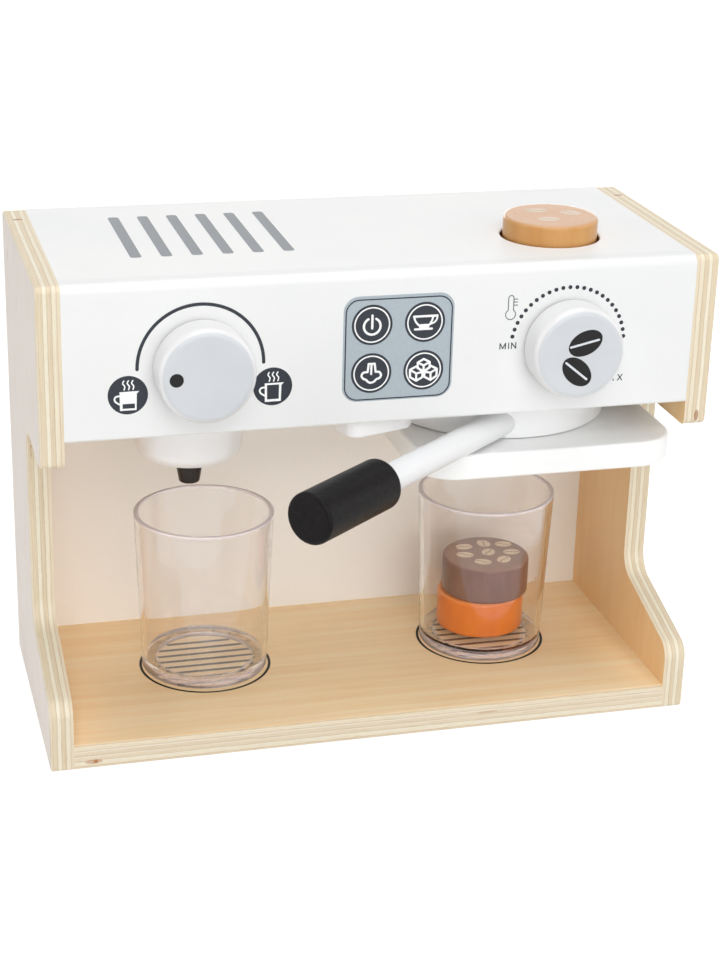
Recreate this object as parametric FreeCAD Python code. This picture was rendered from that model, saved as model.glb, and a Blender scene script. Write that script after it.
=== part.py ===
import FreeCAD, Part
import math
import os

# Toy coffee maker in plywood and painted wood, with two clear cups, three coffee
# tablets, two dial knobs and a swinging portafilter.
# X runs to the right, Y to the back, Z up from the ground. Pieces are built with the
# back of the case at Y = 0, then moved so that the origin is the middle of the footprint.

os.makedirs("parts", exist_ok=True)
V = FreeCAD.Vector

# Overall sizes of the case
case_width = 300.0
case_height = 221.5
head_depth = 127.2
foot_beyond_head = 2.6

# Boards
side_thickness = 10.6
base_thickness = 11.9
back_thickness = 7.2
top_thickness = 9.0
front_thickness = 9.0
floor_thickness = 6.0
shelf_thickness = 9.0
plate_thickness = 12.0
edge_round = 1.4
front_top_round = 4.0

# Side panel outline
neck_depth = 72.0
overhang_height = 79.3
foot_front_z = 31.5
foot_neck_z = 48.5
foot_round = 9.0
neck_foot_round = 12.0
notch_round = 10.0
lip_round = 3.0

# Head of the machine
front_height = 68.0
floor_gap_above_front = 0.5
rail_size = 10.0
corner_block_size = 14.0
corner_block_margin = 6.0

# Hidden dowels that join the boards
dowel_diameter = 6.0
dowel_length = 17.0
dowel_fit = 0.1
dowel_end_gap = 0.5
dowel_depth_in_side = 7.0

# Holder plate under the head
plate_width = 122.6
plate_front_round = 20.0

# Portafilter
drum_diameter = 104.8
drum_thickness = 17.7
drum_from_side = 79.6
drum_y = -60.0
drum_edge_round = 1.0
drum_lift = 0.3
drum_gap_above = 0.7
rod_diameter = 12.4
rod_gap_above_plate = 1.1
rod_direction_deg = -140.3
rod_offset_from_pivot = 30.0
rod_visible_length = 91.7
rod_socket_depth = 22.0
grip_diameter = 22.3
grip_length = 50.0
grip_rod_depth = 24.0
grip_end_round = 1.8
glue_fit = 0.05
pivot_diameter = 8.0
pivot_running_fit = 0.1
pivot_head_diameter = 16.0
pivot_head_height = 3.0

# Stop block for the handle
stop_length = 34.0
stop_width = 18.0
stop_drop = 9.0
stop_turn_deg = 19.0
stop_from_pivot = 71.7
stop_y = -110.4
stop_round = 6.0

# Spout
spout_from_side = 75.0
spout_y = -62.0
spout_top_radius = 26.0
spout_low_radius = 24.0
spout_height = 34.0
spout_edge_round = 7.0
screw_diameter = 4.0
spout_screw_length = 22.0
screw_head_diameter = 8.0
screw_head_height = 2.4
nozzle_top_radius = 7.0
nozzle_bottom_radius = 4.7
nozzle_length = 13.4
nozzle_pin_radius = 3.5
nozzle_pin_length = 8.0
nozzle_bore_radius = 1.6
nozzle_round = 1.0

# Dial knobs
dial_from_side = 68.7
dial_below_top = 37.2
knob_radius = 20.7
knob_front_reach = 16.0
knob_round = 3.4
knob_back_chamfer = 0.8
washer_thickness = 1.0
washer_radius = 12.0
axle_diameter = 8.0
axle_running_fit = 0.1
axle_depth_in_knob = 9.0
collar_radius = 10.0
collar_thickness = 6.0
collar_gap = 0.3
collar_screw_length = 14.0
collar_screw_head_diameter = 13.0

# Coffee tablets
tablet_radius = 21.3
tablet_thickness = 18.0
tablet_round = 1.6
tablet_hole_radius = 22.5
tablet_hole_from_side = 63.7
tablet_hole_from_front = 44.5
shelf_margin = 9.5

# Cups
cup_left_from_side = 82.2
cup_height = 78.6
cup_base_radius = 29.6
cup_rim_radius = 32.7
cup_wall = 2.0
cup_floor = 6.1
cup_foot_recess_radius = 23.5
cup_foot_recess_depth = 2.2
cup_base_round = 1.5
cup_rim_round = 0.6
low_tablet_offset = (1.4, 5.4)
high_tablet_offset = (3.4, 5.4)

# Places worked out from the sizes above
foot_depth = head_depth + foot_beyond_head
inner_half = case_width / 2 - side_thickness
front_back_y = -head_depth + front_thickness
top_under_z = case_height - top_thickness
front_bottom_z = case_height - front_height
overhang_z = case_height - overhang_height
floor_under_z = front_bottom_z + floor_gap_above_front
floor_top_z = floor_under_z + floor_thickness
drum_x = case_width / 2 - drum_from_side
drum_top_z = floor_under_z - drum_gap_above
drum_under_z = drum_top_z - drum_thickness
plate_top_z = drum_under_z - drum_lift
plate_under_z = plate_top_z - plate_thickness
plate_left_x = inner_half - plate_width
spout_x = spout_from_side - case_width / 2
spout_bottom_z = floor_under_z - spout_height
dial_x = case_width / 2 - dial_from_side
dial_z = case_height - dial_below_top
tablet_hole_x = case_width / 2 - tablet_hole_from_side
tablet_hole_y = tablet_hole_from_front - head_depth
cup_left_x = cup_left_from_side - case_width / 2
cup_right_x = drum_x
cup_y = drum_y
rod_z = plate_top_z + rod_gap_above_plate + rod_diameter / 2
drum_radius = drum_diameter / 2
cup_bottom_z = base_thickness
footprint_shift = V(0, foot_depth / 2, 0)


def export(node, shape):
    """Write one node as its own STEP file, moved to the middle of the footprint."""
    shape.translated(footprint_shift).exportStep("parts/" + node + ".step")


def box(x0, x1, y0, y1, z0, z1):
    return Part.makeBox(x1 - x0, y1 - y0, z1 - z0, V(x0, y0, z0))


def rounded_outline(points, radii):
    """Closed wire through the points, with an arc of the given radius at each corner."""
    count = len(points)
    starts = []
    ends = []
    middles = []
    for i in range(count):
        corner = points[i]
        before = (points[i - 1] - corner).normalize()
        after = (points[(i + 1) % count] - corner).normalize()
        if radii[i] == 0:
            starts.append(corner)
            ends.append(corner)
            middles.append(None)
            continue
        half = before.getAngle(after) / 2
        reach = radii[i] / math.tan(half)
        bisector = (before + after).normalize()
        centre = corner + bisector * (radii[i] / math.sin(half))
        starts.append(corner + before * reach)
        ends.append(corner + after * reach)
        middles.append(centre - bisector * radii[i])
    edges = []
    for i in range(count):
        if middles[i] is not None:
            edges.append(Part.Arc(starts[i], middles[i], ends[i]).toShape())
        following = starts[(i + 1) % count]
        edges.append(Part.LineSegment(ends[i], following).toShape())
    return Part.Wire(edges)


def slab(points, radii, direction):
    """Solid board with a rounded outline, swept along a direction."""
    return Part.Face(rounded_outline(points, radii)).extrude(direction)


def round_edges(shape, radius, chosen):
    """Round the edges of a solid for which chosen(edge) is true."""
    edges = [edge for edge in shape.Edges if chosen(edge)]
    return shape.makeFillet(radius, edges)


def turned(profile, x, y):
    """Solid of revolution about a vertical axis from (radius, z) points."""
    points = [V(x + r, y, z) for r, z in profile]
    face = Part.Face(Part.makePolygon(points + points[:1]))
    return face.revolve(V(x, y, 0), V(0, 0, 1), 360)


def upright(radius, height, x, y, z):
    return Part.makeCylinder(radius, height, V(x, y, z))


def circles_at_z(z):
    """Choose full circle edges that lie at one height."""
    def chosen(edge):
        is_circle = isinstance(edge.Curve, Part.Circle)
        return is_circle and abs(edge.BoundBox.ZMin - z) < 0.01 and edge.BoundBox.ZLength < 0.01
    return chosen


def dowels(places, direction, start_offset, extra):
    """Cylinders along X at (x, y, z) places, pulled towards direction (1 or -1)."""
    radius = dowel_diameter / 2 + extra
    length = dowel_length + 2 * (dowel_end_gap if extra else 0)
    result = []
    for x, y, z in places:
        start = x + direction * start_offset
        if extra:
            start -= direction * dowel_end_gap
        result.append(Part.makeCylinder(radius, length, V(start, y, z), V(direction, 0, 0)))
    return result


# Joints between boards and side panels, one dowel at each (y, z)
top_dowel_z = case_height - top_thickness / 2
base_dowel_z = base_thickness / 2
plate_dowel_z = plate_under_z + plate_thickness / 2
board_dowels = [(-25.0, base_dowel_z), (-100.0, base_dowel_z)]
head_dowels = [(-30.0, top_dowel_z), (-95.0, top_dowel_z)]
plate_dowels = [(-25.0, plate_dowel_z), (-58.0, plate_dowel_z)]


def dowel_set(extra):
    """All the dowels, or with extra the holes that they sit in."""
    result = []
    for side in (-1, 1):
        face = side * inner_half
        places = [(face, y, z) for y, z in board_dowels + head_dowels]
        if side == 1:
            places += [(face, y, z) for y, z in plate_dowels]
        result += dowels(places, -side, -dowel_depth_in_side, extra)
    return result


dowel_holes = Part.makeCompound(dowel_set(dowel_fit))


def side_panel(side):
    """Plywood side with a neck, an overhanging head and a foot. side is -1 or 1."""
    x = -case_width / 2 if side < 0 else inner_half
    outline = [V(x, 0, 0), V(x, -foot_depth, 0), V(x, -foot_depth, foot_front_z),
               V(x, -neck_depth, foot_neck_z), V(x, -neck_depth, overhang_z),
               V(x, -head_depth, overhang_z), V(x, -head_depth, case_height), V(x, 0, case_height)]
    radii = [edge_round, edge_round, foot_round, neck_foot_round, notch_round,
             lip_round, lip_round, edge_round]
    panel = slab(outline, radii, V(side_thickness, 0, 0))

    def on_a_face(edge):
        flat = edge.BoundBox.XLength < 0.01
        return flat and abs(edge.BoundBox.XMin - side * case_width / 2) < 0.01
    return round_edges(panel, edge_round, on_a_face).cut(dowel_holes)


def base_board():
    """Board that the cups stand on."""
    board = box(-inner_half, inner_half, -foot_depth, -back_thickness, 0, base_thickness)

    def front_edges(edge):
        return edge.BoundBox.YLength < 0.01 and edge.BoundBox.YMin < -foot_depth + 0.01 \
            and edge.BoundBox.XLength > 1
    return round_edges(board, edge_round, front_edges).cut(dowel_holes)


def back_panel():
    return box(-inner_half, inner_half, -back_thickness, 0, 0, top_under_z)


def top_panel():
    """Top board with the round opening for a coffee tablet."""
    board = box(-inner_half, inner_half, front_back_y, 0, top_under_z, case_height)
    hole = upright(tablet_hole_radius, top_thickness * 2, tablet_hole_x, tablet_hole_y,
                   top_under_z - top_thickness / 2)
    board = board.cut(hole).cut(dowel_holes)

    def hole_rim(edge):
        return circles_at_z(case_height)(edge)
    return round_edges(board, edge_round / 2, hole_rim)


def axle_hole(side):
    return Part.makeCylinder(axle_diameter / 2 + axle_running_fit, front_thickness * 2,
                             V(side * dial_x, -head_depth - front_thickness / 2, dial_z), V(0, 1, 0))


def front_panel():
    """Front board with its top edge rounded over and two holes for the dial axles."""
    board = box(-inner_half, inner_half, -head_depth, front_back_y, front_bottom_z, case_height)

    def top_front(edge):
        low = edge.BoundBox
        return low.XLength > case_width / 2 and low.YMax < -head_depth + 0.01 and low.ZMin > case_height - 0.01

    def bottom_front(edge):
        low = edge.BoundBox
        return low.XLength > case_width / 2 and low.YMax < -head_depth + 0.01 and low.ZMax < front_bottom_z + 0.01
    board = round_edges(board, front_top_round, top_front)
    board = round_edges(board, edge_round, bottom_front)
    for side in (-1, 1):
        board = board.cut(axle_hole(side))
    return board


def head_floor():
    """Thin board that closes the head from below and holds the spout and the pivot."""
    board = box(-inner_half, inner_half, front_back_y, -back_thickness, floor_under_z, floor_top_z)
    pivot = upright(pivot_diameter / 2 + glue_fit, floor_thickness * 3, drum_x, drum_y,
                    floor_under_z - floor_thickness)
    screw = upright(screw_diameter / 2 + glue_fit, floor_thickness * 3, spout_x, spout_y,
                    floor_under_z - floor_thickness)
    return board.cut(pivot).cut(screw)


def floor_rails():
    """Two rails on the side panels that the head floor is glued to."""
    rails = []
    for side in (-1, 1):
        near = side * inner_half
        far = side * (inner_half - rail_size)
        x0, x1 = sorted((near, far))
        rails.append(box(x0, x1, front_back_y + corner_block_size, -back_thickness,
                         floor_top_z, floor_top_z + rail_size))
    return Part.makeCompound(rails)


def corner_blocks():
    """Square glue blocks behind the front panel, one at each side."""
    blocks = []
    for side in (-1, 1):
        near = side * inner_half
        far = side * (inner_half - corner_block_size)
        x0, x1 = sorted((near, far))
        blocks.append(box(x0, x1, front_back_y, front_back_y + corner_block_size,
                          floor_top_z, top_under_z - corner_block_margin))
    return Part.makeCompound(blocks)


def tablet_shelf():
    """Board glued under the top board, which a tablet in the opening rests on."""
    half = tablet_hole_radius + shelf_margin
    return box(tablet_hole_x - half, tablet_hole_x + half, tablet_hole_y - half,
               tablet_hole_y + half, top_under_z - shelf_thickness, top_under_z)


def holder_plate():
    """White plate with two round front corners that carries the portafilter."""
    outline = [V(plate_left_x, -back_thickness, plate_under_z), V(inner_half, -back_thickness, plate_under_z),
               V(inner_half, -head_depth, plate_under_z), V(plate_left_x, -head_depth, plate_under_z)]
    radii = [0, 0, plate_front_round, plate_front_round]
    plate = slab(outline, radii, V(0, 0, plate_thickness))

    def long_edges(edge):
        return edge.BoundBox.ZLength < 0.01 and edge.BoundBox.YMax < -back_thickness - 1
    bore = upright(pivot_diameter / 2 + glue_fit, plate_thickness * 2, drum_x, drum_y,
                   plate_under_z - plate_thickness / 2)
    sink = upright(pivot_head_diameter / 2 + glue_fit, pivot_head_height, drum_x, drum_y, plate_under_z)
    return round_edges(plate, edge_round, long_edges).cut(bore).cut(sink).cut(dowel_holes)


def pivot_pin():
    """Pin with a flat head, sunk in the plate, that the portafilter turns on."""
    head = upright(pivot_head_diameter / 2, pivot_head_height, drum_x, drum_y, plate_under_z)
    shank = upright(pivot_diameter / 2, floor_top_z - plate_under_z, drum_x, drum_y, plate_under_z)
    return head.fuse(shank).removeSplitter()


# Line of the handle, worked out from the pivot
rod_angle = math.radians(rod_direction_deg)
rod_along = V(math.cos(rod_angle), math.sin(rod_angle), 0)
rod_aside = V(-math.sin(rod_angle), math.cos(rod_angle), 0)
rod_foot = V(drum_x, drum_y, rod_z) + rod_aside * rod_offset_from_pivot
rod_leaves_drum = math.sqrt(drum_radius ** 2 - rod_offset_from_pivot ** 2)
rod_start = rod_foot + rod_along * (rod_leaves_drum - rod_socket_depth)
grip_start = rod_foot + rod_along * (rod_leaves_drum + rod_visible_length)
rod_length = rod_socket_depth + rod_visible_length + grip_rod_depth


def portafilter_drum():
    """Round head of the portafilter, with a socket for the handle rod."""
    drum = upright(drum_radius, drum_thickness, drum_x, drum_y, drum_under_z)

    def rims(edge):
        return circles_at_z(drum_under_z)(edge) or circles_at_z(drum_top_z)(edge)
    drum = round_edges(drum, drum_edge_round, rims)
    bore = upright(pivot_diameter / 2 + pivot_running_fit, drum_thickness * 2, drum_x, drum_y,
                   drum_under_z - drum_thickness / 2)
    socket = Part.makeCylinder(rod_diameter / 2, rod_length, rod_start, rod_along)
    return drum.cut(bore).cut(socket)


def portafilter_rod():
    return Part.makeCylinder(rod_diameter / 2, rod_length, rod_start, rod_along)


def portafilter_grip():
    """Black turned grip, bored for the end of the rod."""
    grip = Part.makeCylinder(grip_diameter / 2, grip_length, grip_start, rod_along)

    def end_rims(edge):
        return isinstance(edge.Curve, Part.Circle)
    grip = round_edges(grip, grip_end_round, end_rims)
    return grip.cut(Part.makeCylinder(rod_diameter / 2, grip_rod_depth, grip_start, rod_along))


def handle_stop():
    """Rounded block under the head floor that the handle swings against."""
    half_x = stop_length / 2
    half_y = stop_width / 2
    z = floor_under_z - stop_drop
    outline = [V(-half_x, -half_y, z), V(half_x, -half_y, z), V(half_x, half_y, z), V(-half_x, half_y, z)]
    block = slab(outline, [stop_round] * 4, V(0, 0, stop_drop))

    def low_edges(edge):
        return edge.BoundBox.ZMax < z + 0.01
    block = round_edges(block, edge_round, low_edges)
    block.rotate(V(0, 0, 0), V(0, 0, 1), stop_turn_deg)
    block.translate(V(drum_x - stop_from_pivot, stop_y, 0))
    front = box(-case_width, case_width, -2 * case_width, front_back_y, front_bottom_z, case_height)
    return block.cut(front)


def spout_funnel():
    """Turned bowl that hangs under the head floor."""
    body = Part.makeCone(spout_low_radius, spout_top_radius, spout_height, V(spout_x, spout_y, spout_bottom_z))
    body = round_edges(body, spout_edge_round, circles_at_z(spout_bottom_z))
    pin_hole = upright(nozzle_pin_radius, nozzle_pin_length, spout_x, spout_y, spout_bottom_z)
    screw_hole = upright(screw_diameter / 2, spout_screw_length - floor_thickness,
                         spout_x, spout_y, floor_under_z - spout_screw_length + floor_thickness)
    return body.cut(pin_hole).cut(screw_hole)


def spout_nozzle():
    """Black tapered nozzle with a pin that is glued into the funnel."""
    low = spout_bottom_z - nozzle_length
    cone = Part.makeCone(nozzle_bottom_radius, nozzle_top_radius, nozzle_length, V(spout_x, spout_y, low))
    cone = round_edges(cone, nozzle_round, circles_at_z(low))
    pin = upright(nozzle_pin_radius, nozzle_pin_length, spout_x, spout_y, spout_bottom_z)
    bore = upright(nozzle_bore_radius, nozzle_length, spout_x, spout_y, low)
    return cone.fuse(pin).removeSplitter().cut(bore)


def screw(x, y, z, length, head_diameter, down):
    """Plain flat-headed wood screw, the underside of its head at z, pointing along down."""
    shank = Part.makeCylinder(screw_diameter / 2, length, V(x, y, z), down)
    head = Part.makeCylinder(head_diameter / 2, screw_head_height, V(x, y, z), down * -1)
    return shank.fuse(head).removeSplitter()


def spout_screw():
    return screw(spout_x, spout_y, floor_top_z, spout_screw_length, screw_head_diameter, V(0, 0, -1))


# Dial places along Y, from the knob face back to the collar
knob_face_y = -head_depth - knob_front_reach
knob_back_y = -head_depth - washer_thickness
axle_front_y = knob_back_y - axle_depth_in_knob
collar_front_y = front_back_y + collar_gap
collar_back_y = collar_front_y + collar_thickness


def dial_knob(side):
    """White turned knob with a rounded front rim."""
    length = knob_back_y - knob_face_y
    knob = Part.makeCylinder(knob_radius, length, V(side * dial_x, knob_face_y, dial_z), V(0, 1, 0))

    def rim_at(y):
        def chosen(edge):
            return isinstance(edge.Curve, Part.Circle) and abs(edge.BoundBox.YMax - y) < 0.01
        return chosen
    knob = round_edges(knob, knob_round, rim_at(knob_face_y))
    back_rim = [edge for edge in knob.Edges if rim_at(knob_back_y)(edge)]
    knob = knob.makeChamfer(knob_back_chamfer, back_rim)
    socket = Part.makeCylinder(axle_diameter / 2, axle_depth_in_knob,
                               V(side * dial_x, axle_front_y, dial_z), V(0, 1, 0))
    return knob.cut(socket)


def dial_axle(side):
    """Dowel from the knob through the front panel to the end of the collar."""
    axle = Part.makeCylinder(axle_diameter / 2, collar_back_y - axle_front_y,
                             V(side * dial_x, axle_front_y, dial_z), V(0, 1, 0))
    pilot = Part.makeCylinder(screw_diameter / 2, collar_screw_length,
                              V(side * dial_x, collar_back_y, dial_z), V(0, -1, 0))
    return axle.cut(pilot)


def dial_washer(side):
    """Felt ring between the knob and the front panel."""
    start = V(side * dial_x, knob_back_y, dial_z)
    ring = Part.makeCylinder(washer_radius, washer_thickness, start, V(0, 1, 0))
    return ring.cut(Part.makeCylinder(axle_diameter / 2, washer_thickness, start, V(0, 1, 0)))


def dial_collar(side):
    """Wooden ring on the back end of the axle, which keeps the knob in the panel."""
    start = V(side * dial_x, collar_front_y, dial_z)
    ring = Part.makeCylinder(collar_radius, collar_thickness, start, V(0, 1, 0))
    return ring.cut(Part.makeCylinder(axle_diameter / 2, collar_thickness, start, V(0, 1, 0)))


def dial_screw(side):
    return screw(side * dial_x, collar_back_y, dial_z, collar_screw_length, collar_screw_head_diameter,
                 V(0, -1, 0))


def tablet(x, y, z):
    """Round wooden coffee tablet with softened rims."""
    body = upright(tablet_radius, tablet_thickness, x, y, z)

    def rims(edge):
        return circles_at_z(z)(edge) or circles_at_z(z + tablet_thickness)(edge)
    return round_edges(body, tablet_round, rims)


def cup(x):
    """Clear cup with a slight taper, a thick base and a hollow under its foot."""
    top = cup_bottom_z + cup_height
    slope = (cup_rim_radius - cup_base_radius) / cup_height
    floor_z = cup_bottom_z + cup_floor
    inner_low = cup_base_radius + slope * cup_floor - cup_wall
    inner_high = cup_rim_radius - cup_wall
    profile = [(0, cup_bottom_z + cup_foot_recess_depth),
               (cup_foot_recess_radius, cup_bottom_z + cup_foot_recess_depth),
               (cup_foot_recess_radius, cup_bottom_z), (cup_base_radius, cup_bottom_z),
               (cup_rim_radius, top), (inner_high, top), (inner_low, floor_z), (0, floor_z)]
    body = turned(profile, x, cup_y)

    def outer_foot(edge):
        low = circles_at_z(cup_bottom_z)(edge)
        return low and edge.BoundBox.XLength > 2 * cup_base_radius - 1
    body = round_edges(body, cup_base_round, outer_foot)
    return round_edges(body, cup_rim_round, circles_at_z(top))


# Case
for side, name in ((-1, "left"), (1, "right")):
    export("side_panel_" + name, side_panel(side))
export("base_board", base_board())
export("back_panel", back_panel())
export("top_panel", top_panel())
export("front_panel", front_panel())
export("head_floor", head_floor())
export("floor_rails", floor_rails())
export("corner_blocks", corner_blocks())
export("tablet_shelf", tablet_shelf())
export("holder_plate", holder_plate())
export("panel_dowels", Part.makeCompound(dowel_set(0)))

# Spout and stop
export("spout_funnel", spout_funnel())
export("spout_nozzle", spout_nozzle())
export("spout_screw", spout_screw())
export("handle_stop", handle_stop())

# Portafilter and its pivot
export("pivot_pin", pivot_pin())
export("portafilter_drum", portafilter_drum())
export("portafilter_rod", portafilter_rod())
export("portafilter_grip", portafilter_grip())

# Dials
for side, name in ((-1, "left"), (1, "right")):
    export("dial_knob_" + name, dial_knob(side))
    export("dial_axle_" + name, dial_axle(side))
    export("dial_washer_" + name, dial_washer(side))
    export("dial_collar_" + name, dial_collar(side))
    export("dial_screw_" + name, dial_screw(side))

# Cups and tablets
export("cup_left", cup(cup_left_x))
export("cup_right", cup(cup_right_x))
export("tablet_top", tablet(tablet_hole_x, tablet_hole_y, top_under_z))
tablet_floor_z = cup_bottom_z + cup_floor
low_x, low_y = low_tablet_offset
high_x, high_y = high_tablet_offset
export("tablet_low", tablet(cup_right_x + low_x, cup_y + low_y, tablet_floor_z))
export("tablet_high", tablet(cup_right_x + high_x, cup_y + high_y, tablet_floor_z + tablet_thickness))
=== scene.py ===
import math

import bpy
from mathutils import Matrix, Vector


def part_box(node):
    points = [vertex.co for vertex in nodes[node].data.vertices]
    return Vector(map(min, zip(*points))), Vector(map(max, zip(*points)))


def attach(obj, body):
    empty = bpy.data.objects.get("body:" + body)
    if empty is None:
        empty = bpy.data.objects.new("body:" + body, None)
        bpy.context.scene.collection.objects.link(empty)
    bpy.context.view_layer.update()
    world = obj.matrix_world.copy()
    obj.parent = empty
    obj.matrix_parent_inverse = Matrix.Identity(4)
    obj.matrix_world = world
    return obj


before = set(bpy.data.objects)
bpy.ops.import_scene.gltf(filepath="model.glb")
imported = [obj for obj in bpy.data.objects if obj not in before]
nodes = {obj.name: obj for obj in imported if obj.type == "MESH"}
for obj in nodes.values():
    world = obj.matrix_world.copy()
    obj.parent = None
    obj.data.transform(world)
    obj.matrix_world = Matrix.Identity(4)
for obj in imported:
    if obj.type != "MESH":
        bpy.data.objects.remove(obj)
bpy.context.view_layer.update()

# Places and sizes of the solids, in metres. Depths inside the case are given from BACK.
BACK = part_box("back_panel")[1].y
FRONT_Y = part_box("front_panel")[0].y
TOP_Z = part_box("top_panel")[1].z
BASE_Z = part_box("base_board")[1].z
KNOB_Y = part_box("dial_knob_left")[0].y
CUP_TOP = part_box("cup_left")[1].z
FOOT_Y = BACK - 0.1298
PLY_INNER_X = 0.1394
PLY_THICKNESS = 0.0106
OPENING_REACH = 0.0232
KNOB_FACE_FADE = (0.0187, 0.0197)

# How far the handle is turned from the X axis
HANDLE_TURN = math.radians(180 - 140.3)


def middle(node):
    low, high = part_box(node)
    return (low + high) / 2


# Node helpers

def srgb(r, g, b):
    """Linear colour from 0 to 255 display values."""
    out = []
    for value in (r, g, b):
        c = value / 255
        out.append(c / 12.92 if c <= 0.04045 else ((c + 0.055) / 1.055) ** 2.4)
    return tuple(out) + (1.0,)


class Shader:
    """A material with a Principled BSDF and short names for the nodes that feed it."""

    def __init__(self, name, **sockets):
        self.material = bpy.data.materials.new(name)
        self.material.use_nodes = True
        self.tree = self.material.node_tree
        self.bsdf = self.tree.nodes["Principled BSDF"]
        for key, value in sockets.items():
            self.bsdf.inputs[key.replace("_", " ")].default_value = value
        self.here = self.node("ShaderNodeTexCoord").outputs["Object"]

    def node(self, kind, **inputs):
        made = self.tree.nodes.new(kind)
        for key, value in inputs.items():
            self.put(made.inputs[key.replace("_", " ")], value)
        return made

    def put(self, socket, value):
        if isinstance(value, bpy.types.NodeSocket):
            self.tree.links.new(value, socket)
        else:
            socket.default_value = value

    def math(self, operation, a, b=0.0, clamp=False):
        made = self.tree.nodes.new("ShaderNodeMath")
        made.operation = operation
        made.use_clamp = clamp
        self.put(made.inputs[0], a)
        self.put(made.inputs[1], b)
        return made.outputs[0]

    def axes(self, vector=None):
        """The x, y and z outputs of a vector, or of the place on the surface in metres."""
        return self.node("ShaderNodeSeparateXYZ", Vector=vector or self.here).outputs

    def normal(self):
        return self.axes(self.node("ShaderNodeTexCoord").outputs["Normal"])

    def across(self, node, upright=True):
        """Distance from a node's middle line, upright or from front to back, and the place along it."""
        centre = middle(node)
        x, y, z = self.axes()
        aside, along, middle_aside = (y, z, centre.y) if upright else (z, y, centre.z)
        dx = self.math("SUBTRACT", x, centre.x)
        da = self.math("SUBTRACT", aside, middle_aside)
        squares = self.math("ADD", self.math("MULTIPLY", dx, dx), self.math("MULTIPLY", da, da))
        return self.math("SQRT", squares), along

    def stretched(self, scale, turn=0.0):
        return self.node("ShaderNodeMapping", Vector=self.here, Scale=scale,
                         Rotation=(0, 0, turn)).outputs[0]

    def noise(self, scale, detail=3.0, rough=0.5, vector=None, distortion=0.0):
        return self.node("ShaderNodeTexNoise", Vector=vector or self.here, Scale=scale, Detail=detail,
                         Roughness=rough, Distortion=distortion).outputs[0]

    def spread(self, value, low, high, to_low=0.0, to_high=1.0, smooth=True):
        made = self.tree.nodes.new("ShaderNodeMapRange")
        made.interpolation_type = "SMOOTHSTEP" if smooth else "LINEAR"
        for index, given in enumerate((value, low, high, to_low, to_high)):
            self.put(made.inputs[index], given)
        return made.outputs[0]

    def ramp(self, value, stops):
        made = self.tree.nodes.new("ShaderNodeValToRGB")
        self.put(made.inputs[0], value)
        elements = made.color_ramp.elements
        for index, (place, colour) in enumerate(stops):
            item = elements[index] if index < 2 else elements.new(place)
            item.position = place
            item.color = colour
        return made.outputs[0]

    def mix(self, factor, a, b, blend="MIX"):
        made = self.tree.nodes.new("ShaderNodeMix")
        made.data_type = "RGBA"
        made.blend_type = blend
        # Sockets 6 and 7 are the two colours, and output 2 is the mixed colour
        self.put(made.inputs[0], factor)
        self.put(made.inputs[6], a)
        self.put(made.inputs[7], b)
        return made.outputs[2]

    def weighted(self, a, share_a, b, share_b):
        """Weighted sum of two values."""
        return self.math("ADD", self.math("MULTIPLY", a, share_a), self.math("MULTIPLY", b, share_b))

    def colour(self, value):
        self.put(self.bsdf.inputs["Base Color"], value)

    def roughness(self, value, low, high):
        self.put(self.bsdf.inputs["Roughness"], self.spread(value, 0.3, 0.7, low, high, False))

    def bump(self, height, strength, distance=0.0004):
        made = self.node("ShaderNodeBump", Height=height, Strength=strength, Distance=distance)
        self.put(self.bsdf.inputs["Normal"], made.outputs[0])

    def spot(self, place, reach):
        """1 inside a soft ellipsoid round a place, in metres, and 0 outside."""
        moved = self.node("ShaderNodeMapping", Vector=self.here,
                          Location=tuple(-p / r for p, r in zip(place, reach)),
                          Scale=tuple(1 / r for r in reach)).outputs[0]
        length = self.tree.nodes.new("ShaderNodeVectorMath")
        length.operation = "LENGTH"
        self.put(length.inputs[0], moved)
        wobble = self.math("MULTIPLY", self.noise(900, 2), 0.5)
        return self.spread(self.math("ADD", length.outputs[1], wobble), 0.9, 1.25, 1.0, 0.0)

    def marked(self, colour, marks, tint):
        """A colour with knots or stains, each given as its place, reach and strength."""
        for place, reach, strength in marks:
            colour = self.mix(self.math("MULTIPLY", self.spot(place, reach), strength), colour, tint)
        return colour


def dress(names, shader):
    for name in names:
        node = nodes[name]
        if not node.material_slots:
            node.data.materials.append(shader.material)
        for slot in node.material_slots:
            slot.material = shader.material


# Paints. Each grain is a texture scale along X, Y and Z and a turn about Z.

BOARD_GRAIN = ((9, 420, 420), 0)
UPRIGHT_GRAIN = ((420, 420, 14), 0)
ROD_GRAIN = ((14, 500, 500), HANDLE_TURN)


def painted(name, low, high, rough, grain=None, coat=0.0, texture=0.06):
    """Satin paint over wood: slight tone changes, a fine film texture, faint grain showing through."""
    s = Shader(name, Coat_Weight=coat, Coat_Roughness=0.12)
    broad = s.noise(14, 2)
    fine = s.noise(1100, 3, 0.6)
    s.colour(s.ramp(s.weighted(broad, 0.7, fine, 0.3), [(0.36, low), (0.64, high)]))
    s.roughness(fine, rough - 0.06, rough + 0.06)
    film = s.noise(420, 3, 0.55)
    if grain is not None:
        scale, turn = grain
        film = s.weighted(film, 0.5, s.noise(1.0, 4, 0.6, s.stretched(scale, turn)), 0.7)
    s.bump(film, texture)
    return s


def top_board():
    """White top whose opening shows bare wood, darkened with painted shade, under the painted rim."""
    s = painted("top_board_paint", srgb(235, 236, 236), srgb(240, 240, 239), 0.46, BOARD_GRAIN)
    paint = s.bsdf.inputs["Base Color"].links[0].from_socket
    across, z = s.across("tablet_top")
    inside = s.math("LESS_THAN", across, OPENING_REACH)
    deep = s.spread(z, TOP_Z - 0.0014, TOP_Z - 0.0006, 1.0, 0.0)
    grain = s.noise(1.0, 4, 0.6, s.stretched((60, 60, 700)))
    # Wall of the opening: bare wood colour made darker with painted shade
    wood = s.ramp(grain, [(0.3, srgb(96, 66, 46)), (0.7, srgb(140, 102, 72))])
    s.colour(s.mix(s.math("MULTIPLY", inside, deep), paint, wood))
    return s


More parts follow.
